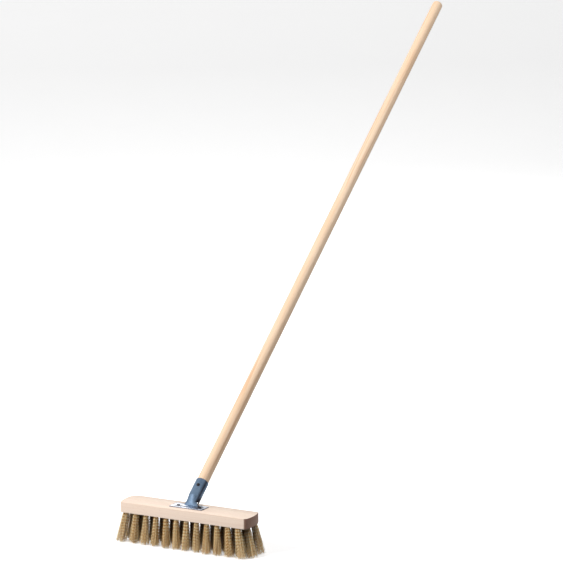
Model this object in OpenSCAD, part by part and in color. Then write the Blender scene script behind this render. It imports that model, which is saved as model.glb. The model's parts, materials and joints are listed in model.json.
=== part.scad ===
// Push broom: a hardwood block with crimped wire tufts, a sheet-steel socket
// and a round wooden handle that leans back from the block.
//
// X runs along the block, the handle leans towards +Y and Z is up.
// The origin is on the floor, at the plane of the bristle tips, under the
// centre of the block.

/* [Block] */
// Length over the bowed ends
block_l = 300; // [290:1:320]
// Width, front to back
block_w = 60; // [58:1:66]
// Thickness
block_h = 21; // [20:1:26]
// How far each end bows out past its square corner
end_bow = 7; // [5:0.5:9]
// Distance from the centre line to the point where an end bows out most
bow_peak_y = 5; // [3:1:8]
// Radius of the rounded corner at the rear of the left end
rear_corner_r = 14; // [10:1:16]
// Radius of the rounded corner at the front of the right end
front_corner_r = 8; // [6:1:14]

/* [Tufts] */
// Number of tufts in a row
tufts_per_row = 12; // [8:1:12]
// Spacing along a row
tuft_pitch = 23.6; // [22:0.1:24]
// Position of the first tuft of a leading row
first_tuft_x = -134.5; // [-136:0.5:-132]
// Spacing between rows
row_pitch = 14.4; // [13:0.1:15]
// Length of wire that shows under the block
bristle_l = 63; // [50:1:80]
// Diameter of a drilled tuft hole
tuft_hole_d = 8; // [7:0.1:8.5]
// Depth of a drilled tuft hole
tuft_hole_depth = 13; // [11:0.5:15]
// Diameter of a tuft where it meets the floor
tuft_tip_d = 12.6; // [10:0.2:13]
// Outward lean of the last tuft at each end, in degrees
end_splay = 11; // [0:1:14]
// Outward lean of the front and rear rows, in degrees
row_splay = 3; // [0:0.5:5]

/* [Socket] */
// Length of the base plate
plate_l = 75; // [70:1:90]
// Width of the base plate
plate_w = 29; // [28:1:36]
// Thickness of the base plate
plate_t = 1.5; // [1:0.1:3]
// Outside diameter of the rolled sleeve
sleeve_d = 26.5; // [26.4:0.1:28]
// Thickness of the sleeve's sheet
sheet_t = 1.5; // [1:0.1:1.5]
// Distance from the base plate to the top of the sleeve, along the handle
sleeve_top = 60; // [55:1:90]
// Width of the open seam of the sleeve
seam_w = 1; // [0.5:0.1:2]
// Reach of the flare where the neck meets the base plate
flare_r = 8; // [4:0.5:9]
// Spacing of the two screws in the base plate
screw_spacing = 49; // [44:1:56]

/* [Handle] */
// Diameter of the handle
handle_d = 24; // [22:0.5:24]
// Length of the handle
handle_l = 1480; // [1200:5:1600]
// Lean of the handle from upright, in degrees
lean = 51; // [45:1:54]

/* [Hidden] */
$fn = 96;
fit_gap = 0.1;     // room left between parts that sit in one another
past = 1;          // how far a cut runs past the face that it opens
side = [-1, 1];    // the two ends, or the two screws

// The radius of an end's arc, from its chord and its height
bow_r = (pow(block_w / 2 + bow_peak_y, 2) + pow(end_bow, 2)) / (2 * end_bow);

block_under_z = bristle_l;
block_top_z = block_under_z + block_h;
plate_top_z = block_top_z + plate_t;

// Rows of tufts run front to rear. Every second row is moved by half a pitch.
row_letters = ["a", "b", "c", "d"];
row_count = len(row_letters);
tuft_r = tuft_hole_d / 2 - fit_gap;
tuft_numbers = [1 : tufts_per_row];

// The wire of each tuft is looped over a flat anchor driven across its hole.
anchor_l = 7.2;
anchor_w = 0.8;
anchor_h = 2;
anchor_depth = 9;  // from the block's underside to the anchor's lower edge

// Neck of the socket: an upright half shell that the leaning sleeve grows from
sleeve_r = sleeve_d / 2;
bore_r = sleeve_r - sheet_t;
axis_y = 7.6;      // where the handle's axis meets the top of the base plate
neck_front_y = 6;
neck_extra = 0.15;   // the neck stands this much proud of the sleeve on both faces
neck_r = sleeve_r + neck_extra;
neck_bore_r = sleeve_r - sheet_t - neck_extra;
neck_y = neck_front_y + neck_r;
bend_z = (neck_y - axis_y) / tan(lean);
neck_rear_y = 11.4;  // the open notch between neck and rear runs from here
notch_rear_y = 20;   // to here
rear_lift = 1;       // gap between the sleeve's rear rim and the base plate's height
flare_ease = 6;      // larger is straighter and less like a quarter circle
seam_angle = 24;     // round the sleeve from +X towards the front
big = 200;           // larger than the socket in every direction

// Handle: its turned-down, tapered foot sits in the sleeve and its top is domed.
handle_r = handle_d / 2;
handle_foot = 20;
handle_tip = handle_foot + handle_l;
shoulder = 0.3;      // smallest step from the handle down to its foot
stub_r = min(handle_r - shoulder, bore_r - fit_gap);
stub_top = sleeve_top + 2;
taper_l = 6;
taper_in = 1.5;
dome_h = 8;

// Countersunk wood screws of the base plate
screw_head_r = 4.4;
screw_head_h = 1.2;
screw_shank_r = 2;
screw_l = 14;
slot_w = 1;
slot_depth = 0.7;
// Pan-head screw that holds the handle in the sleeve
pin_s = 43;          // along the handle
pin_angle = 12;      // round the sleeve from its front towards +X
pin_head_r = 3.6;
pin_head_h = 2.2;
pin_shank_r = 1.6;
pin_l = 14;

function tuft_x(row, n) = first_tuft_x + (row % 2) * tuft_pitch / 2 + (n - 1) * tuft_pitch;
function row_y(row) = (row - (row_count - 1) / 2) * row_pitch;
// The lean along X grows with the cube of the distance from the centre.
function lean_x(x) = end_splay * pow(x / -first_tuft_x, 3);
function lean_y(row) = row == 0 ? -row_splay : row == row_count - 1 ? row_splay : 0;

// ---- Placing ----

// Moves a child made at the origin, pointing down, to one tuft's place.
module at_tuft(row, n)
    translate([tuft_x(row, n), row_y(row), block_under_z])
        rotate([lean_y(row), -lean_x(tuft_x(row, n)), 0])
            children();

// The child's Z axis becomes the handle's axis, from the base plate upwards.
module along_handle()
    translate([0, axis_y, plate_top_z]) rotate([-lean, 0, 0]) children();

module at_plate_screw(end)
    translate([end * screw_spacing / 2, 0, plate_top_z]) children();

// The child's Z axis points out of the sleeve's front, through the pin's hole.
module at_handle_screw()
    along_handle()
        translate([0, 0, pin_s]) rotate([90, 0, pin_angle]) children();

// ---- Block ----

// One bowed end: a large disc that passes through the square corner
module bow_disc(end)
    translate([end * (block_l / 2 - bow_r), -end * bow_peak_y]) circle(bow_r, $fn = 360);

// Rounds the rear left corner of its child to radius r.
module round_left_corner(r) {
    reach_y = block_w / 2 - r - bow_peak_y;
    centre_x = bow_r - block_l / 2 - sqrt(pow(bow_r - r, 2) - pow(reach_y, 2));
    centre = [centre_x, block_w / 2 - r];
    outward = [centre_x - (bow_r - block_l / 2), reach_y] / (bow_r - r);
    difference() {
        children();
        polygon([centre, centre + 2 * r * outward, centre + [-2 * r, 2 * r], centre + [0, 2 * r]]);
    }
    translate(centre) circle(r);
}

module block_outline()
    rotate(180) round_left_corner(front_corner_r)
        rotate(180) round_left_corner(rear_corner_r)
            intersection() {
                square([block_l, block_w], center = true);
                union() {
                    for (end = side) bow_disc(end);
                }
            }

module block()
    color("bisque")
        difference() {
            translate([0, 0, block_under_z]) linear_extrude(block_h) block_outline();
            for (row = [0 : row_count - 1]) for (n = tuft_numbers)
                at_tuft(row, n)
                    translate([0, 0, -past]) cylinder(d = tuft_hole_d, h = tuft_hole_depth + past);
            for (end = side)
                at_plate_screw(end)
                    translate([0, 0, -screw_l - fit_gap]) cylinder(r = screw_shank_r + fit_gap / 2, h = screw_l);
        }

// ---- Tufts ----

// The stub in its hole, slotted for the anchor, and the flared wire below it
module tuft(row, n)
    color("goldenrod")
        intersection() {
            at_tuft(row, n) {
                difference() {
                    cylinder(r = tuft_r, h = tuft_hole_depth - fit_gap);
                    translate([0, 0, anchor_depth + anchor_h / 2])
                        cube([2 * tuft_hole_d, anchor_w + 2 * fit_gap, anchor_h + 2 * fit_gap], center = true);
                }
                mirror([0, 0, 1])
                    cylinder(r1 = tuft_r, r2 = tuft_tip_d / 2, h = bristle_l * 1.05);
            }
            translate([-block_l, -block_w, 0]) cube([2 * block_l, 2 * block_w, block_top_z]);
        }

module anchor_row(row)
    color("gray")
        for (n = tuft_numbers)
            at_tuft(row, n)
                translate([0, 0, anchor_depth + anchor_h / 2])
                    cube([anchor_l, anchor_w, anchor_h], center = true);

// ---- Socket ----

module base_plate()
    color("gainsboro")
        difference() {
            translate([-plate_l / 2, -plate_w / 2, block_top_z]) cube([plate_l, plate_w, plate_t]);
            for (end = side)
                at_plate_screw(end) {
                    translate([0, 0, -plate_t - past]) cylinder(r = screw_shank_r + fit_gap, h = plate_t + 2 * past);
                    translate([0, 0, fit_gap - screw_head_h])
                        cylinder(r1 = screw_shank_r + fit_gap, r2 = screw_head_r + fit_gap, h = screw_head_h);
                }
        }

// One side of the plane in which neck and sleeve meet: 0 is above it and 1 is below it
module beside_bend(below)
    translate([0, neck_y, plate_top_z + bend_z]) rotate([-lean / 2, 0, 0])
        translate([-big / 2, -big / 2, -below * big]) cube(big);

// The leaning sleeve, with its seam and the hole for the handle screw
module sleeve()
    difference() {
        along_handle() cylinder(r = sleeve_r, h = sleeve_top);
        along_handle() translate([0, 0, -past]) cylinder(r = bore_r, h = sleeve_top + 2 * past);
        along_handle() rotate(-seam_angle)
            translate([bore_r / 2, -seam_w / 2, -past]) cube([sleeve_r, seam_w, sleeve_top + 2 * past]);
        at_handle_screw() cylinder(r = pin_shank_r + fit_gap, h = sleeve_d);
    }

// The upright front shell between base plate and sleeve, with its flared foot
module neck()
    translate([0, neck_y, plate_top_z])
        difference() {
            union() {
                cylinder(r = neck_r, h = 2 * bend_z);
                rotate_extrude()
                    translate([neck_r - sheet_t / 2, 0])
                        difference() {
                            square([sheet_t / 2 + flare_r, flare_r]);
                            translate([sheet_t / 2 + flare_r + flare_ease, flare_r + flare_ease])
                                circle(norm([flare_r + flare_ease, flare_ease]));
                        }
            }
            translate([0, 0, -past]) cylinder(r = neck_bore_r, h = 2 * bend_z + 2 * past);
            translate([-big / 2, neck_rear_y - neck_y, -big / 2]) cube(big);
        }

module socket_tube()
    color("lightsteelblue")
        union() {
            difference() {
                neck();
                beside_bend(0);
            }
            difference() {
                sleeve();
                // below the bend only the rear stays, down to its rim
                difference() {
                    beside_bend(1);
                    translate([-big / 2, notch_rear_y, plate_top_z + rear_lift]) cube(big);
                }
            }
        }

// ---- Fasteners ----

module plate_screws()
    color("dimgray")
        for (end = side)
            at_plate_screw(end)
                difference() {
                    union() {
                        translate([0, 0, -screw_l]) cylinder(r = screw_shank_r, h = screw_l);
                        translate([0, 0, -screw_head_h])
                            cylinder(r1 = screw_shank_r, r2 = screw_head_r, h = screw_head_h);
                    }
                    translate([-big / 2, -slot_w / 2, -slot_depth]) cube([big, slot_w, big]);
                }

module handle_screw()
    color("silver")
        at_handle_screw()
            difference() {
                union() {
                    translate([0, 0, sleeve_r + fit_gap])
                        scale([1, 1, pin_head_h / pin_head_r]) intersection() {
                            sphere(pin_head_r);
                            cylinder(r = pin_head_r, h = pin_head_r);
                        }
                    translate([0, 0, handle_r - pin_l + sheet_t])
                        cylinder(r = pin_shank_r, h = pin_l + 2 * fit_gap);
                }
                translate([-slot_w / 2, -big / 2, sleeve_r + pin_head_h - slot_depth]) cube([slot_w, big, big]);
            }

// ---- Handle ----

module handle()
    color("wheat")
        difference() {
            along_handle() {
                translate([0, 0, handle_foot]) cylinder(r1 = stub_r - taper_in, r2 = stub_r, h = taper_l);
                translate([0, 0, handle_foot + taper_l])
                    cylinder(r = stub_r, h = stub_top - handle_foot - taper_l);
                translate([0, 0, stub_top]) cylinder(r = handle_r, h = handle_tip - dome_h - stub_top);
                translate([0, 0, handle_tip - dome_h])
                    rotate_extrude() intersection() {
                        scale([1, dome_h / handle_r]) circle(handle_r);
                        square(handle_d);
                    }
            }
            at_handle_screw()
                translate([0, 0, handle_r - pin_l]) cylinder(r = pin_shank_r + fit_gap / 2, h = sleeve_d);
        }

block();
base_plate();
socket_tube();
plate_screws();
handle_screw();
handle();
for (row = [0 : row_count - 1])
    anchor_row(row);
for (row = [0 : row_count - 1]) for (n = tuft_numbers)
    tuft(row, n);
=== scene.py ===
"""Push broom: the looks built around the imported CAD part. All lengths are in metres."""

import json
import math

import bmesh
import bpy
import numpy as np
from mathutils import Matrix, Vector


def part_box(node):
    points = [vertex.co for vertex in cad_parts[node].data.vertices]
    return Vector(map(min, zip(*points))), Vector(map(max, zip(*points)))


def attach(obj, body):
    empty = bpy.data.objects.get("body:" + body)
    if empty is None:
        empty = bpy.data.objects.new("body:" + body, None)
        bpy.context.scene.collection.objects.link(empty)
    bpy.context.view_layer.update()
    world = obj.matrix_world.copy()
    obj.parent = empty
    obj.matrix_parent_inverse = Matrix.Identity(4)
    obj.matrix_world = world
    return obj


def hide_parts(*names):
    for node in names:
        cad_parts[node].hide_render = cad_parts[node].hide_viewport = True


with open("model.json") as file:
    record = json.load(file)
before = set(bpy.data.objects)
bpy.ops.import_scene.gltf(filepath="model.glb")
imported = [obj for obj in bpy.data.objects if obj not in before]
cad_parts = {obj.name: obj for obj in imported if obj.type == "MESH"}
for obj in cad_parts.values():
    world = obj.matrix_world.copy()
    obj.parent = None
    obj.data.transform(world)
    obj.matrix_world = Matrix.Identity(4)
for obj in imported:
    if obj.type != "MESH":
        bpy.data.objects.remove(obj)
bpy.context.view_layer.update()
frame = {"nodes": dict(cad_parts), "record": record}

MM = 0.001
BODY = "root"


# ---- Frame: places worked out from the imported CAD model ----

BLOCK_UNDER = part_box("block")[0].z
PLATE_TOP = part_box("base_plate")[1].z
grip = next(m for m in frame["record"]["mounts"] if m["name"] == "handle_grip")
HANDLE_AXIS = Vector(grip["axis"]).normalized()
HANDLE_POINT = Vector(grip["pos_m"])
LEAN = math.atan2(HANDLE_AXIS.y, HANDLE_AXIS.z)
# where the handle's axis meets the top of the base plate
AXIS_FOOT = HANDLE_POINT + HANDLE_AXIS * ((PLATE_TOP - HANDLE_POINT.z) / HANDLE_AXIS.z)


# ---- Small helpers ----

def linear(red, green, blue):
    """A linear colour from an sRGB one given as 0 to 255."""
    def channel(c):
        c /= 255
        return c / 12.92 if c <= 0.04045 else ((c + 0.055) / 1.055) ** 2.4
    return (channel(red), channel(green), channel(blue), 1)


def new_object(name, mesh, replaces=()):
    """A new visible piece on the broom's body, in place of the CAD nodes it replaces."""
    piece = bpy.data.objects.new(name, mesh)
    bpy.context.scene.collection.objects.link(piece)
    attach(piece, BODY)
    if replaces:
        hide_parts(*replaces)
    return piece


def apply_modifiers(piece):
    """Makes the modifiers' result the piece's own mesh."""
    graph = bpy.context.evaluated_depsgraph_get()
    result = bpy.data.meshes.new_from_object(piece.evaluated_get(graph))
    result.name = piece.name
    piece.modifiers.clear()
    piece.data = result


def shade_smooth(mesh, angle):
    """Smooth shading, with edges sharper than angle, in degrees, left sharp."""
    mesh.polygons.foreach_set("use_smooth", [True] * len(mesh.polygons))
    mesh.set_sharp_from_angle(angle=math.radians(angle))


# the Mix node's sockets when it mixes colours
MIX_FACTOR = 0
MIX_FIRST = 6
MIX_SECOND = 7
MIX_RESULT = 2


class Nodes:
    """A material's node tree, with short calls for the nodes used here."""

    def __init__(self, name):
        self.material = bpy.data.materials.new(name)
        self.material.use_nodes = True
        self.tree = self.material.node_tree
        self.shader = self.tree.nodes["Principled BSDF"]

    def add(self, kind, links=None, **settings):
        node = self.tree.nodes.new(kind)
        for key, value in settings.items():
            setattr(node, key, value)
        for socket, source in (links or {}).items():
            self.put(node, socket, source)
        return node

    def put(self, node, socket, source):
        """Links another node's output, or sets a constant on the socket itself."""
        if hasattr(source, "is_linked"):
            self.tree.links.new(source, node.inputs[socket])
        else:
            node.inputs[socket].default_value = source

    def place(self, rotation=(0, 0, 0), scale=(1, 1, 1), location=(0, 0, 0)):
        """Object coordinates, turned and scaled."""
        coordinates = self.add("ShaderNodeTexCoord")
        mapping = self.add("ShaderNodeMapping", {"Vector": coordinates.outputs["Object"]})
        mapping.inputs["Rotation"].default_value = rotation
        mapping.inputs["Scale"].default_value = scale
        mapping.inputs["Location"].default_value = location
        return mapping.outputs["Vector"]

    def stretch(self, vector, scale):
        """The vector with each axis scaled, so that a noise has that many cells to the metre."""
        mapping = self.add("ShaderNodeMapping", {"Vector": vector})
        mapping.inputs["Scale"].default_value = scale
        return mapping.outputs["Vector"]

    def noise(self, vector, scale, detail=4, roughness=0.55, distortion=0.0):
        node = self.add("ShaderNodeTexNoise", {"Vector": vector, "Scale": scale, "Detail": detail,
                                               "Roughness": roughness, "Distortion": distortion})
        return node.outputs["Fac"]

    def ramp(self, value, *stops):
        node = self.add("ShaderNodeValToRGB", {"Fac": value})
        elements = node.color_ramp.elements
        while len(elements) < len(stops):
            elements.new(0.5)
        for element, (position, colour) in zip(elements, stops):
            element.position = position
            element.color = colour
        return node.outputs["Color"]

    def grey(self, value, low, high, dark=0.0, light=1.0):
        """value stretched so that low gives dark and high gives light."""
        node = self.add("ShaderNodeMapRange", {"Value": value, "From Min": low, "From Max": high,
                                               "To Min": dark, "To Max": light})
        return node.outputs["Result"]

    def mix(self, factor, first, second, blend="MIX"):
        node = self.add("ShaderNodeMix", data_type="RGBA", blend_type=blend)
        for socket, source in ((MIX_FACTOR, factor), (MIX_FIRST, first), (MIX_SECOND, second)):
            self.put(node, socket, source)
        return node.outputs[MIX_RESULT]

    def math(self, operation, first, second=0.0):
        return self.add("ShaderNodeMath", {0: first, 1: second}, operation=operation).outputs[0]

    def bump(self, height, strength, distance, under=None):
        node = self.add("ShaderNodeBump", {"Height": height, "Strength": strength, "Distance": distance})
        if under is not None:
            self.put(node, "Normal", under)
        return node.outputs["Normal"]

    def finish(self, **inputs):
        """Fills the shader's sockets, with an underscore for each space in their names."""
        for socket, source in inputs.items():
            self.put(self.shader, socket.replace("_", " "), source)
        return self.material


# ---- Materials ----

# cells to the metre, across the grain twice and then along it
RING_CELLS = (140, 140, 3.2)
FIBRE_CELLS = (900, 900, 14)
PATCH_CELLS = (16, 16, 2.5)
FLECK_CELLS = (1300, 1300, 190)
PORE_CELLS = (1100, 1100, 1100)
PORE_BROWN = linear(120, 88, 72)
END_FACING = (0.25, 0.5)     # the share of a face's normal along X that begins and completes end grain


def wood(name, colours, grain_turn, fleck_colour, fleck_amount, figure,
         roughness=(0.5, 0.68), end_grain=None):
    """Bare wood with its grain along local Z after grain_turn.
    colours are the early wood, the late wood and a warm patch; figure is how strongly the rings show."""
    n = Nodes(name)
    along = n.place(rotation=grain_turn)
    rings = n.noise(n.stretch(along, RING_CELLS), 1.0, detail=3, distortion=0.5)
    fine = n.noise(n.stretch(along, FIBRE_CELLS), 1.0, detail=5, roughness=0.7)
    patches = n.noise(n.stretch(along, PATCH_CELLS), 1.0, detail=2)
    colour = n.ramp(rings, (0.34, colours[0]), (0.52, colours[0]), (0.66, colours[1]))
    colour = n.mix(figure, colours[0], colour)
    colour = n.mix(n.grey(patches, 0.42, 0.72, 0.0, 0.7), colour, colours[2])
    colour = n.mix(n.grey(fine, 0.38, 0.7, 0.0, 0.42), colour, colours[1])
    cells = n.noise(n.stretch(along, FLECK_CELLS), 1.0, detail=1)
    flecks = n.grey(cells, 0.66, 0.74, 0.0, fleck_amount)
    colour = n.mix(flecks, colour, fleck_colour)
    if end_grain is not None:
        facing = n.add("ShaderNodeNewGeometry").outputs["Normal"]
        facing_x = n.add("ShaderNodeSeparateXYZ", {0: facing}).outputs[0]
        ends = n.grey(n.math("ABSOLUTE", facing_x), *END_FACING)
        pores = n.noise(n.stretch(along, PORE_CELLS), 1.0, detail=3)
        cut_across = n.mix(n.grey(pores, 0.35, 0.65), end_grain, PORE_BROWN)
        colour = n.mix(ends, colour, cut_across)
    rough = n.grey(fine, 0.3, 0.7, *roughness)
    normal = n.bump(fine, 0.35, 0.00025)
    normal = n.bump(rings, 0.22, 0.0004, normal)
    normal = n.bump(flecks, 0.4, -0.00018, normal)
    n.shader.inputs["Specular IOR Level"].default_value = 0.35
    return n.finish(Base_Color=colour, Roughness=rough, Normal=normal)


CLOUD_CELLS = (55, 55, 30)
ROLLING_CELLS = (700, 700, 18)
SCUFF_CELLS = (260, 260, 120)
SPANGLE_SCALE = 420.0
SCUFF_WHITE = linear(214, 216, 222)
# the colour of the painted shade and dark reflection on the sleeve, along its seam and round its notch
SEAM_SHADE_BLACK = linear(34, 32, 44)


def zinc(name, tint, dark, roughness, brushed_turn=(0, 0, 0), metallic=1.0, seam_shaded=False):
    """Zinc-plated sheet: faint spangle, fine rolling lines and small scuffs.
    One with painted shade is darker where its mesh says so: a point attribute holds the painted shade and
    dark reflection."""
    n = Nodes(name)
    where = n.place(rotation=brushed_turn)
    cloud = n.noise(n.stretch(where, CLOUD_CELLS), 1.0, detail=5, roughness=0.62)
    lines = n.noise(n.stretch(where, ROLLING_CELLS), 1.0, detail=3)
    spangle = n.add("ShaderNodeTexVoronoi", {"Vector": where, "Scale": SPANGLE_SCALE}).outputs["Distance"]
    scuffs = n.noise(n.stretch(where, SCUFF_CELLS), 1.0, detail=6, roughness=0.7, distortion=1.2)
    colour = n.mix(n.grey(cloud, 0.35, 0.7), tint, dark)
    colour = n.mix(n.grey(scuffs, 0.6, 0.75, 0.0, 0.35), colour, SCUFF_WHITE)
    if seam_shaded:
        # painted shade and dark reflection, read from a point attribute
        dark_share = n.add("ShaderNodeAttribute", attribute_name="seam_notch_shade").outputs["Fac"]
        colour = n.mix(dark_share, colour, SEAM_SHADE_BLACK)
    rough = n.grey(cloud, 0.3, 0.7, *roughness)
    rough = n.math("ADD", rough, n.grey(spangle, 0.0, 0.6, -0.03, 0.04))
    normal = n.bump(lines, 0.10, 0.00010)
    normal = n.bump(scuffs, 0.08, 0.00012, normal)
    n.shader.inputs["Metallic"].default_value = metallic
    return n.finish(Base_Color=colour, Roughness=rough, Normal=normal)


SCREW_CLOUD_SCALE = 520.0


def screw_steel():
    """Dark, dull screw steel with cloudy spots."""
    n = Nodes("darkened_screw_steel")
    cloud = n.noise(n.place(), SCREW_CLOUD_SCALE, detail=5, roughness=0.65)
    colour = n.mix(n.grey(cloud, 0.4, 0.68), linear(60, 58, 62), linear(26, 22, 24))
    n.shader.inputs["Metallic"].default_value = 0.5
    n.shader.inputs["Specular IOR Level"].default_value = 0.25
    return n.finish(Base_Color=colour, Roughness=n.grey(cloud, 0.3, 0.7, 0.4, 0.55),
                    Normal=n.bump(cloud, 0.15, 0.00008))


TARNISH_SCALE = 900.0
TARNISH_BROWN = linear(128, 84, 46)
WORN_TIP = linear(240, 220, 180)
# the colour and strength of the painted shade deep inside the brush, where the tufts shade each other
INNER_SHADE_BROWN = linear(92, 58, 28)
INNER_SHADE_AMOUNT = 0.78


def brass_wire():
    """Brassy wire. Its mesh carries tone, the shade of each wire with its crimps' crests lighter and
    troughs darker, partly wear and partly painted highlight and shade, run, from 0 in the hole to 1 at the
    tip, and a third value, how far inside the brush a point is, which sets the painted shade deep in the
    brush."""
    n = Nodes("crimped_brass_wire")
    tone = n.add("ShaderNodeAttribute", attribute_name="tone").outputs["Fac"]
    run = n.add("ShaderNodeAttribute", attribute_name="run").outputs["Fac"]
    inner_shade = n.add("ShaderNodeAttribute", attribute_name="inner_shade").outputs["Fac"]
    tarnish = n.noise(n.place(), TARNISH_SCALE, detail=3)
    colour = n.ramp(tone, (0.0, linear(172, 122, 70)), (0.35, linear(252, 210, 144)),
                    (0.7, linear(255, 234, 180)), (1.0, linear(255, 248, 220)))
    colour = n.mix(n.grey(tarnish, 0.5, 0.75, 0.0, 0.5), colour, TARNISH_BROWN)
    colour = n.mix(n.grey(run, 0.93, 1.0, 0.0, 0.35), colour, WORN_TIP)
    # painted shade: darker deep inside the brush
    colour = n.mix(n.grey(inner_shade, 0.1, 1.0, 0.0, INNER_SHADE_AMOUNT), colour, INNER_SHADE_BROWN)
    n.shader.inputs["Metallic"].default_value = 0.3
    return n.finish(Base_Color=colour, Roughness=n.grey(tarnish, 0.35, 0.7, 0.32, 0.5),
                    Normal=n.bump(tarnish, 0.15, 0.00005))


# the block's grain runs along X, so local Z is turned onto it
ALONG_X = (0, math.radians(90), 0)
ALONG_HANDLE = (LEAN, 0, 0)
BEECH = wood("pale_beech", (linear(250, 231, 214), linear(236, 208, 184), linear(246, 222, 204)),
             ALONG_X, linear(198, 152, 118), fleck_amount=0.5, figure=0.45,
             end_grain=linear(168, 132, 114))
PINE = wood("turned_pine", (linear(250, 224, 196), linear(224, 176, 134), linear(242, 206, 170)),
            ALONG_HANDLE, linear(205, 160, 120), fleck_amount=0.25, figure=0.85,
            roughness=(0.42, 0.6))
# the sleeve's zinc, with painted shade and dark reflection along its seam and round its notch
SLEEVE_ZINC = zinc("bluish_zinc", linear(124, 145, 168), linear(96, 118, 142), (0.58, 0.7),
                   ALONG_HANDLE, metallic=0.8, seam_shaded=True)
PLATE_ZINC = zinc("bright_zinc", linear(214, 217, 226), linear(188, 192, 204), (0.2, 0.34), ALONG_X)
SCREW = screw_steel()
WIRE = brass_wire()
# the plate's cut edge, painted darker as the shade on its thin edge
SHADED_CUT_EDGE = zinc("shaded_cut_sheet_edge", linear(92, 90, 104), linear(70, 66, 80), (0.4, 0.55), metallic=0.5)
ANCHOR_STEEL = zinc("anchor_wire_steel", linear(170, 170, 174), linear(140, 140, 146), (0.3, 0.42))


# ---- CAD nodes that stay: only their material changes ----

def repaint(node, material):
    """Gives a CAD node one material and nothing else."""
    mesh = frame["nodes"][node].data
    mesh.materials.clear()
    mesh.materials.append(material)


NODE_MATERIALS = {"block": BEECH, "base_plate": PLATE_ZINC, "socket_tube": SLEEVE_ZINC,
                  "plate_screws": SCREW, "handle_screw": SCREW, "handle": PINE}
for node in frame["nodes"]:
    if node.startswith("tuft_"):
        material = WIRE
    elif node.startswith("anchor_row_"):
        material = ANCHOR_STEEL
    else:
        material = NODE_MATERIALS[node]
    repaint(node, material)


# ---- Softened copies: the CAD shape with its edges rounded off ----

WELD = 0.002 * MM            # points closer than this are one
FLAT_WITHIN = math.radians(0.5)
CREASE = math.radians(40)    # edges sharper than this are rounded


def softened(node, width, segments=2):
    """A copy of a CAD node whose sharp edges are rounded, in place of the node."""
    mesh = frame["nodes"][node].data.copy()
    work = bmesh.new()
    work.from_mesh(mesh)
    bmesh.ops.remove_doubles(work, verts=work.verts, dist=WELD)
    bmesh.ops.dissolve_limit(work, angle_limit=FLAT_WITHIN, verts=work.verts, edges=work.edges)
    work.to_mesh(mesh)
    work.free()
    piece = new_object("soft_" + node, mesh, [node])
    rounding = piece.modifiers.new("rounding", "BEVEL")
    rounding.width = width
    rounding.segments = segments
    rounding.limit_method = "ANGLE"
    rounding.angle_limit = CREASE
    rounding.use_clamp_overlap = True
    apply_modifiers(piece)
    shade_smooth(piece.data, 30)
    return piece


BLOCK_ROUNDING = 1.1 * MM
PLATE_ROUNDING = 0.3 * MM
SCREW_ROUNDING = 0.2 * MM
STEEP = 0.5                  # faces whose normal rises less than this are the plate's cut edge, painted darker as shade

softened("block", BLOCK_ROUNDING, 3)
plate = softened("base_plate", PLATE_ROUNDING)
plate.data.materials.append(SHADED_CUT_EDGE)
# the plate's cut edge gets the darker material, as painted shade
for face in plate.data.polygons:
    if abs(face.normal.z) < STEEP:
        face.material_index = 1
softened("plate_screws", SCREW_ROUNDING)
softened("handle_screw", SCREW_ROUNDING)


# ---- Raised, slotted heads of the two plate screws ----

HEAD_R = 4.5 * MM
HEAD_RISE = 1.5 * MM
HEAD_SUNK = 0.1 * MM         # how deep the heads' rims sit in the plate
HEAD_CROWN = 2.4             # higher is flatter on top, with a rounder rim
HEAD_MIDDLE = 0.2            # the innermost ring's radius, in ring widths
CAD_HEAD_R = 4.4 * MM
HEAD_RINGS = 14
HEAD_SIDES = 56
SLOT_HALF = 0.55 * MM
SLOT_DEPTH = 0.8 * MM
SLOT_TURNS = {-1: math.radians(20), 1: math.radians(-35)}


def make_screw_heads():
    """Two domed heads, each with one slot, over the CAD screws."""
    screws_low, screws_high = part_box("plate_screws")
    place_x = (screws_high.x - screws_low.x) / 2 - CAD_HEAD_R
    work = bmesh.new()
    for end in (-1, 1):
        turn = SLOT_TURNS[end]
        rings = []
        for i in range(HEAD_RINGS + 1):
            r = HEAD_R * (HEAD_RINGS - i + HEAD_MIDDLE) / (HEAD_RINGS + HEAD_MIDDLE)
            ring = []
            for k in range(HEAD_SIDES):
                a = 2 * math.pi * k / HEAD_SIDES
                x = r * math.cos(a)
                y = r * math.sin(a)
                rise = HEAD_RISE * (1 - (r / HEAD_R) ** HEAD_CROWN) - HEAD_SUNK
                if abs(-x * math.sin(turn) + y * math.cos(turn)) < SLOT_HALF:
                    rise -= SLOT_DEPTH
                ring.append(work.verts.new((end * place_x + x, y, PLATE_TOP + rise)))
            rings.append(ring)
        for outer, inner in zip(rings, rings[1:]):
            for k in range(HEAD_SIDES):
                after = (k + 1) % HEAD_SIDES
                work.faces.new((outer[k], outer[after], inner[after], inner[k]))
        work.faces.new(rings[-1])
        work.faces.new(rings[0][::-1])
    mesh = bpy.data.meshes.new("screw_heads")
    work.to_mesh(mesh)
    work.free()
    mesh.materials.append(SCREW)
    new_object("raised_screw_heads", mesh)
    shade_smooth(mesh, 50)


make_screw_heads()


# ---- Socket: the rolled sleeve whose front runs down into a flared neck ----

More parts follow.
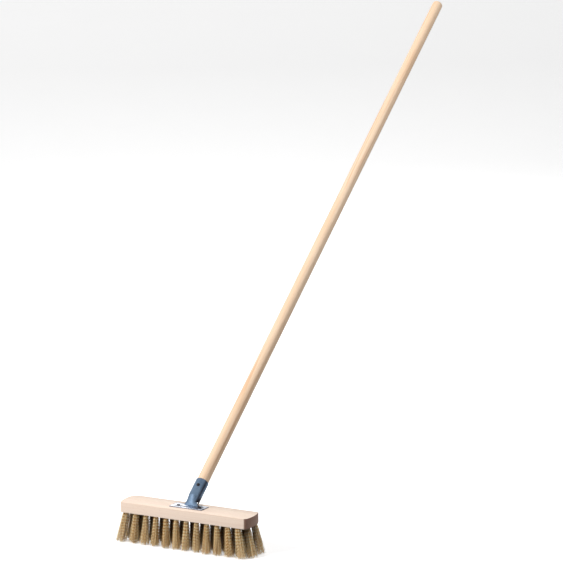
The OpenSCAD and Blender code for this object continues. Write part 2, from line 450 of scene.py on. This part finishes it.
SHEET = 1.5 * MM
SLEEVE_OUT_R = 13.25 * MM
SLEEVE_TOP = 60 * MM
NECK_Y = 19.4 * MM
NECK_HALF_ANGLE = math.radians(53)
SEAM_ANGLE = math.radians(66)    # from the front towards +X
SEAM_HALF = math.radians(0.2)
CURL_DEPTH = 0.9 * MM       # how far the seam's two edges curl in
CURL_WIDTH = math.radians(11)
NOTCH_REAR_Y = 20 * MM
REAR_LIFT = 1 * MM          # room left under the sleeve's lowest rim
NOTCH_DROP = 6 * MM         # how far the sleeve's side runs down past the bend
BEND_REACH = 9 * MM         # how far the bend's curve reaches along the sleeve and the neck
FLARE_REACH = 7.5 * MM      # how far the neck's foot spreads at its sides
FRONT_FLARE = 0.25          # the share of that reach right in front
BEND_HEIGHT = 4 * MM        # the point that the bend's curve is drawn towards
BEND_EXTRA = 1 * MM
TOE_LIFT = 0.25 * MM
SEAM_DARK = 0.8             # how dark the painted shade and reflection along the seam are, from 0 to 1
SEAM_DARK_SHIFT = math.radians(4)
SEAM_DARK_WIDTH = math.radians(13)
NOTCH_DARK = 1.5            # painted shade round the notch; past 1, so that the darkest part is a whole patch
NOTCH_DARK_ANGLE = math.radians(95)
NOTCH_DARK_WIDTH = math.radians(32)
NOTCH_DARK_ROWS = 2         # rows of the sleeve above the bend that get the painted shade too
COLUMN_STEP = math.radians(2.5)
SLEEVE_ROWS = 28
BEND_ROWS = 8
FLARE_ROWS = 8
SHEET_ROUNDING = 0.3 * MM
SHEET_CREASE = math.radians(50)
SHEET_WELD = 0.01 * MM


def sleeve_point(angle, along):
    """A point of the sleeve's outer face: angle is from its front towards +X, along is from the plate."""
    front = Vector((0, -HANDLE_AXIS.z, HANDLE_AXIS.y))
    out = Vector((math.sin(angle), 0, 0)) + front * math.cos(angle)
    curl = CURL_DEPTH * math.exp(-((angle - SEAM_ANGLE) / CURL_WIDTH) ** 2)
    return AXIS_FOOT + HANDLE_AXIS * along + out * (SLEEVE_OUT_R - curl)


def neck_point(angle, height, extra=0.0):
    """A point of the upright neck's outer face, or extra outside it, at a height over the plate."""
    r = SLEEVE_OUT_R + extra
    return Vector((r * math.sin(angle), NECK_Y - r * math.cos(angle), PLATE_TOP + height))


def bend_place(angle):
    """How far along the sleeve the neck meets it."""
    drop = math.tan(LEAN / 2) * SLEEVE_OUT_R * math.cos(angle)
    return (NECK_Y - AXIS_FOOT.y) / math.sin(LEAN) - drop


def curve(first, middle, last, steps):
    """Points of a quadratic curve, without its first one."""
    points = []
    for i in range(1, steps + 1):
        t = i / steps
        points.append(first * (1 - t) ** 2 + middle * 2 * t * (1 - t) + last * t ** 2)
    return points


def straight(first, last, steps):
    """Even points of a straight line, with both its ends."""
    return [first.lerp(last, i / steps) for i in range(steps + 1)]


def sleeve_column(angle):
    """From the top rim down to where the bend's curve starts."""
    bend_start = sleeve_point(angle, bend_place(angle) + BEND_REACH)
    return straight(sleeve_point(angle, SLEEVE_TOP), bend_start, SLEEVE_ROWS)


def front_column(angle):
    """From the top rim through the bend to the neck's flared foot."""
    points = sleeve_column(angle)
    beyond = max(0.0, abs(angle) - NECK_HALF_ANGLE)
    sideways = FRONT_FLARE + (1 - FRONT_FLARE) * min(1.0, abs(angle) / NECK_HALF_ANGLE) ** 2
    toe = neck_point(angle, TOE_LIFT, FLARE_REACH * sideways * (1 - beyond))
    drawn_to = neck_point(angle, BEND_HEIGHT, BEND_EXTRA)
    return points + curve(points[-1], drawn_to, toe, BEND_ROWS + FLARE_ROWS)


def rear_column(angle):
    """Down to the notch, or behind it to the sleeve's lowest rim."""
    cosine = math.cos(angle) * SLEEVE_OUT_R
    notch = (NOTCH_REAR_Y - AXIS_FOOT.y + HANDLE_AXIS.z * cosine) / HANDLE_AXIS.y
    clear = (REAR_LIFT - HANDLE_AXIS.y * cosine) / HANDLE_AXIS.z
    rim = max(min(bend_place(angle), notch) - NOTCH_DROP, clear)
    points = sleeve_column(angle)
    return points + straight(points[-1], sleeve_point(angle, rim), BEND_ROWS)[1:]


def seam_notch_shade(angle, row, rows, on_neck):
    """How dark the painted shade and dark reflection are: along the seam, and round the notch beside the
    neck.
    """
    seam = SEAM_DARK * math.exp(-((angle - SEAM_ANGLE - SEAM_DARK_SHIFT) / SEAM_DARK_WIDTH) ** 2)
    if on_neck:
        return seam * (1 - row / rows)
    beside = math.exp(-((angle - NOTCH_DARK_ANGLE) / NOTCH_DARK_WIDTH) ** 2)
    low = max(0.0, (row - SLEEVE_ROWS + NOTCH_DARK_ROWS) / (rows - SLEEVE_ROWS))
    return max(seam, min(1.0, NOTCH_DARK * beside * low))


def add_strip(work, column, first, last):
    """A strip of sheet between two angles."""
    dark = work.verts.layers.float.get("seam_notch_shade") or work.verts.layers.float.new("seam_notch_shade")
    count = max(2, round((last - first) / COLUMN_STEP))
    columns = []
    for i in range(count + 1):
        angle = first + (last - first) * i / count
        points = column(angle)
        line = []
        for row, point in enumerate(points):
            vertex = work.verts.new(point)
            # painted shade and dark reflection, stored for each point
            vertex[dark] = seam_notch_shade(angle, row, len(points) - 1, column is front_column)
            line.append(vertex)
        columns.append(line)
    for left, right in zip(columns, columns[1:]):
        for row in range(len(left) - 1):
            work.faces.new((left[row], left[row + 1], right[row + 1], right[row]))


def make_socket():
    """One sheet, rolled into the sleeve, closed on its left and open at the seam and the right notch."""
    full = 2 * math.pi
    notch_angle = math.acos((NECK_Y - NOTCH_REAR_Y) / SLEEVE_OUT_R)
    work = bmesh.new()
    add_strip(work, front_column, -notch_angle, NECK_HALF_ANGLE)
    add_strip(work, rear_column, NECK_HALF_ANGLE, SEAM_ANGLE - SEAM_HALF)
    add_strip(work, rear_column, SEAM_ANGLE + SEAM_HALF, full - notch_angle)
    bmesh.ops.remove_doubles(work, verts=work.verts, dist=SHEET_WELD)
    bmesh.ops.recalc_face_normals(work, faces=work.faces)
    # all the normals point away from the sleeve's axis
    probe = max(work.faces, key=lambda f: f.calc_center_median().z)
    away = probe.calc_center_median() - AXIS_FOOT
    away -= HANDLE_AXIS * away.dot(HANDLE_AXIS)
    if probe.normal.dot(away) < 0:
        bmesh.ops.reverse_faces(work, faces=work.faces)
    mesh = bpy.data.meshes.new("socket")
    work.to_mesh(mesh)
    work.free()
    mesh.materials.append(SLEEVE_ZINC)
    piece = new_object("rolled_socket", mesh, ["socket_tube"])
    sheet = piece.modifiers.new("sheet", "SOLIDIFY")
    sheet.thickness = SHEET
    sheet.offset = -1
    sheet.use_even_offset = True
    rounding = piece.modifiers.new("rounding", "BEVEL")
    rounding.width = SHEET_ROUNDING
    rounding.segments = 2
    rounding.limit_method = "ANGLE"
    rounding.angle_limit = SHEET_CREASE
    apply_modifiers(piece)
    shade_smooth(piece.data, 40)


make_socket()


# ---- Tufts of crimped wire ----

WIRES_PER_TUFT = 84
WIRE_R = 0.36 * MM
WIRE_SIDES = 3
WIRE_RINGS = 40
ROOT_R = 3.9 * MM         # a tuft's radius where it leaves the block
TIP_R = 8.5 * MM          # and at the floor
IN_HOLE = 8 * MM          # how far the wires run up into their hole
CRIMP_LENGTH = 6.2 * MM
CRIMP_DEPTH = 0.85 * MM
CRIMP_EASE = (0.25, 3)    # the crimps' share where the wires leave the block, and how fast it grows
CRIMP_OUT_OF_STEP = 0.7   # how far the wires of one tuft are out of step, in radians
CREST_WEAR_AND_HIGHLIGHT = 0.55         # how much lighter the crimps' crests and darker their troughs are: partly wear, partly painted highlight and shade
OUTER_Y = 25 * MM         # wires this far from the middle get no painted shade, and deeper ones are painted darker as shade
OUTER_X = 150 * MM
INNER_SHADE_OVER = 9 * MM        # the painted shade grows to its full over this depth
INNER_SHADE_AT_TIP = 0.55        # how much less painted shade the tips have, where light gets in from below
END_FULLNESS = 0.3        # how much more the tufts at both ends spread
END_FROM_X = 0.095        # where that begins
END_OVER_X = 0.04
BULGE = 0.9 * MM          # how much a tuft swells just below its hole
BULGE_SPEED = 12
FANNING = 0.9             # below 1, a tuft opens early
RAGGED = 6.5 * MM         # how much shorter the shortest wire is
RAGGED_POWER = 1.6        # higher leaves more wires at full length
STRAY_SHARE = 0.09
STRAY_REACH = 5 * MM
SPOT_SPREAD = 0.03        # spreads of the random draws: place in the tuft, as a share of its radius
TURN_SPREAD = 0.12        # and round it, in radians
TUFT_SWAY = 1.1 * MM
WIRE_WANDER = 1.2 * MM
PITCH_RANGE = (0.94, 1.06)
BEND_WAY_SPREAD = 0.7     # the plane of the crimps, in radians
TONE_MIDDLE = 0.5
TONE_SPREAD = 0.2
FOOT_WITHIN = 0.5 * MM    # points of a CAD tuft this near the floor are its foot
HEAD_WITHIN = 2 * MM      # and these are its head
GOLDEN_ANGLE = math.pi * (3 - math.sqrt(5))


def tuft_ends(node):
    """The middle of a tuft where it leaves the block, and where it meets the floor."""
    co = np.array([v.co for v in frame["nodes"][node].data.vertices])
    foot = co[co[:, 2] < FOOT_WITHIN]
    head = co[np.abs(co[:, 2] - co[:, 2].max()) < HEAD_WITHIN]
    low = Vector((foot.min(0) + foot.max(0)) / 2)
    high = Vector((head.min(0) + head.max(0)) / 2)
    root = high + (low - high) * ((high.z - BLOCK_UNDER) / (high.z - low.z))
    return root, Vector((low.x, low.y, 0))


def wire_tuft(node, rng):
    """One bundle of crimped wires in place of a tuft's solid cone."""
    root, foot = tuft_ends(node)
    root, foot = np.array(root), np.array(foot)
    down = (foot - root) / np.linalg.norm(foot - root)
    across = np.cross(down, (0, 1, 0))
    across /= np.linalg.norm(across)
    other = np.cross(down, across)

    count = WIRES_PER_TUFT
    index = np.arange(count)
    spot = np.sqrt((index + 0.5) / count) + rng.normal(0, SPOT_SPREAD, count)
    turn = index * GOLDEN_ANGLE + rng.normal(0, TURN_SPREAD, count)
    outward = np.cos(turn)[:, None] * across + np.sin(turn)[:, None] * other
    sideways = -np.sin(turn)[:, None] * across + np.cos(turn)[:, None] * other
    sway = rng.normal(0, TUFT_SWAY, 2)
    wander = rng.normal(0, WIRE_WANDER, (count, 2))
    stray = (rng.random(count) < STRAY_SHARE) * rng.random(count) * STRAY_REACH
    reach_down = np.linalg.norm(foot - root)
    length = reach_down + IN_HOLE - rng.random(count) ** RAGGED_POWER * RAGGED
    phase = rng.random() * 2 * math.pi + rng.normal(0, CRIMP_OUT_OF_STEP, count)
    pitch = CRIMP_LENGTH * rng.uniform(*PITCH_RANGE, count)
    bend_way = rng.random() * math.pi + rng.normal(0, BEND_WAY_SPREAD, count)
    tone = np.clip(rng.normal(TONE_MIDDLE, TONE_SPREAD, count), 0, 1)

    # arrays of wires x rings: along is from the block's underside, free is 0 there and 1 at the floor
    run = np.linspace(0, 1, WIRE_RINGS)
    along = run[None, :] * length[:, None] - IN_HOLE
    free = np.clip(along / reach_down, 0, None)
    reach = ROOT_R + (TIP_R - ROOT_R) * free ** FANNING
    reach += BULGE * np.tanh(free * BULGE_SPEED) * (1 - free)
    reach *= 1 + END_FULLNESS * np.clip((abs(root[0]) - END_FROM_X) / END_OVER_X, 0, 1)
    spread = spot[:, None] * reach + stray[:, None] * free ** 2
    wave = np.sin(2 * math.pi * along / pitch[:, None] + phase[:, None])
    crimp = CRIMP_DEPTH * wave
    # crests painted lighter and troughs darker: partly wear, partly painted highlight and shade
    tones = np.clip(tone[:, None] + CREST_WEAR_AND_HIGHLIGHT * wave, 0, 1)
    crimp *= np.clip(CRIMP_EASE[0] + CRIMP_EASE[1] * free, 0, 1)
    path = root + along[..., None] * down + spread[..., None] * outward[:, None, :]
    path += (crimp * np.cos(bend_way)[:, None])[..., None] * outward[:, None, :]
    path += (crimp * np.sin(bend_way)[:, None])[..., None] * sideways[:, None, :]
    drift = (sway + wander)[:, None, :] * (free ** 1.5)[..., None]
    path += drift[..., 0:1] * across + drift[..., 1:2] * other
    path[..., 2] = np.maximum(path[..., 2], WIRE_R)

    # painted shade: darker the deeper a point sits among the tufts, and less so towards the tips
    inner_shade = np.clip((OUTER_Y - np.abs(path[..., 1])) / INNER_SHADE_OVER, 0, 1)
    inner_shade *= np.clip((OUTER_X - np.abs(path[..., 0])) / INNER_SHADE_OVER, 0, 1)
    inner_shade *= 1 - INNER_SHADE_AT_TIP * np.clip(free, 0, 1) ** 2

    angle = np.arange(WIRE_SIDES) * 2 * math.pi / WIRE_SIDES
    around = np.cos(angle)[:, None] * across + np.sin(angle)[:, None] * other
    points = path[:, :, None, :] + WIRE_R * around[None, None, :, :]
    per_wire = WIRE_RINGS * WIRE_SIDES
    ring, corner = np.meshgrid(np.arange(WIRE_RINGS - 1), np.arange(WIRE_SIDES), indexing="ij")
    after = (corner + 1) % WIRE_SIDES
    upper = ring * WIRE_SIDES
    lower = (ring + 1) * WIRE_SIDES
    quads = np.stack([upper + corner, upper + after, lower + after, lower + corner], axis=-1).reshape(-1, 4)
    starts = (np.arange(count) * per_wire)[:, None, None]
    quads = (quads[None] + starts).reshape(-1, 4)
    first_cap = np.arange(WIRE_SIDES)[::-1]
    last_cap = np.arange(WIRE_SIDES) + (WIRE_RINGS - 1) * WIRE_SIDES
    caps = (np.stack([first_cap, last_cap])[None] + starts).reshape(-1, WIRE_SIDES)

    mesh = bpy.data.meshes.new(node)
    mesh.from_pydata(points.reshape(-1, 3), [], quads.tolist() + caps.tolist())
    runs = np.broadcast_to(run[None, :], (count, WIRE_RINGS))
    for attribute, values in (("tone", tones), ("inner_shade", inner_shade), ("run", runs)):
        per_point = np.repeat(values.reshape(-1), WIRE_SIDES).astype(np.float32)
        mesh.attributes.new(attribute, "FLOAT", "POINT").data.foreach_set("value", per_point)
    mesh.polygons.foreach_set("use_smooth", [True] * len(mesh.polygons))
    mesh.materials.append(WIRE)
    return new_object("wires_" + node, mesh, [node])


SEED = 7
wire_random = np.random.default_rng(SEED)
for node in sorted(n for n in frame["nodes"] if n.startswith("tuft_")):
    wire_tuft(node, wire_random)


# ---- Floor, light and camera ----

FLOOR_HALF = 9.0
FLOOR_FRONT = -9.0
FLOOR_REAR = 9.0
BACKDROP_TOP = 7.0
BACKDROP_R = 3.0
BACKDROP_STEPS = 16
FLOOR_GLOW = 0.5


def make_floor():
    """A pale floor that curves up into a backdrop far behind the broom.
    It glows softly and casts no bounce light."""
    curve_start = FLOOR_REAR - BACKDROP_R
    profile = [(FLOOR_FRONT, 0.0), (curve_start, 0.0)]
    for i in range(1, BACKDROP_STEPS + 1):
        a = math.pi / 2 * i / BACKDROP_STEPS
        profile.append((curve_start + BACKDROP_R * math.sin(a), BACKDROP_R - BACKDROP_R * math.cos(a)))
    profile.append((FLOOR_REAR, BACKDROP_TOP))
    vertices = [(x, y, z) for y, z in profile for x in (-FLOOR_HALF, FLOOR_HALF)]
    faces = [(2 * i, 2 * i + 1, 2 * i + 3, 2 * i + 2) for i in range(len(profile) - 1)]
    mesh = bpy.data.meshes.new("floor")
    mesh.from_pydata(vertices, [], faces)
    mesh.polygons.foreach_set("use_smooth", [True] * len(mesh.polygons))
    n = Nodes("pale_floor")
    paper = n.noise(n.place(), 6.0, detail=3)
    colour = n.mix(paper, linear(250, 250, 250), linear(246, 246, 246))
    mesh.materials.append(n.finish(Base_Color=colour, Roughness=0.9, Emission_Strength=FLOOR_GLOW,
                                   Emission_Color=linear(255, 255, 255)))
    floor = bpy.data.objects.new("floor", mesh)
    bpy.context.scene.collection.objects.link(floor)
    floor.rotation_euler = (0, 0, CAMERA_AZIMUTH)
    floor.visible_diffuse = False


BROOM_MIDDLE = (0, 0.2, 0.3)
HANDLE_UPPER = (0, 0.9, 0.8)


def add_light(name, azimuth, elevation, distance, size, power, aim=BROOM_MIDDLE):
    """A square soft light that faces one point of the broom, with its angles in degrees."""
    a = math.radians(azimuth)
    e = math.radians(elevation)
    away = Vector((math.sin(a) * math.cos(e), -math.cos(a) * math.cos(e), math.sin(e)))
    light = bpy.data.lights.new(name, "AREA")
    light.size = size
    light.energy = power
    lamp = bpy.data.objects.new(name, light)
    lamp.location = Vector(aim) + away * distance
    lamp.rotation_euler = (-away).to_track_quat("-Z", "Y").to_euler()
    bpy.context.scene.collection.objects.link(lamp)


CAMERA_PLACE = Vector((2.382, -3.953, 1.329))
CAMERA_AZIMUTH = math.radians(28.83)
CAMERA_ELEVATION = math.radians(9.85)
CAMERA_ROLL = math.radians(-0.42)
CAMERA_SENSOR = 36
CAMERA_LENS = 151.8
CAMERA_SHIFT_X = 0.0073
CAMERA_SHIFT_Y = 0.0112


def make_camera():
    """The scene's camera, at the fitted place."""
    data = bpy.data.cameras.new("camera")
    data.sensor_width = CAMERA_SENSOR
    data.lens = CAMERA_LENS
    data.shift_x = CAMERA_SHIFT_X
    data.shift_y = CAMERA_SHIFT_Y
    data.clip_start = 0.05
    data.clip_end = 100
    camera = bpy.data.objects.new("camera", data)
    turn = (Matrix.Rotation(CAMERA_AZIMUTH, 4, "Z")
            @ Matrix.Rotation(math.radians(90) - CAMERA_ELEVATION, 4, "X")
            @ Matrix.Rotation(CAMERA_ROLL, 4, "Z"))
    camera.matrix_world = Matrix.Translation(CAMERA_PLACE) @ turn
    bpy.context.scene.collection.objects.link(camera)
    bpy.context.scene.camera = camera


WORLD_STRENGTH = 0.17


def make_world():
    """Faint white light from all round."""
    world = bpy.data.worlds.new("studio")
    world.use_nodes = True
    background = world.node_tree.nodes["Background"]
    background.inputs["Color"].default_value = (1, 1, 1, 1)
    background.inputs["Strength"].default_value = WORLD_STRENGTH
    bpy.context.scene.world = world


make_floor()
make_camera()
make_world()
add_light("key", -32, 31, 8.0, 2.2, 640)
add_light("rear_fill", -150, 35, 6.0, 3.0, 80)
add_light("handle_fill", 78, 40, 2.3, 1.0, 26, aim=HANDLE_UPPER)
bpy.context.scene.view_settings.view_transform = "Standard"
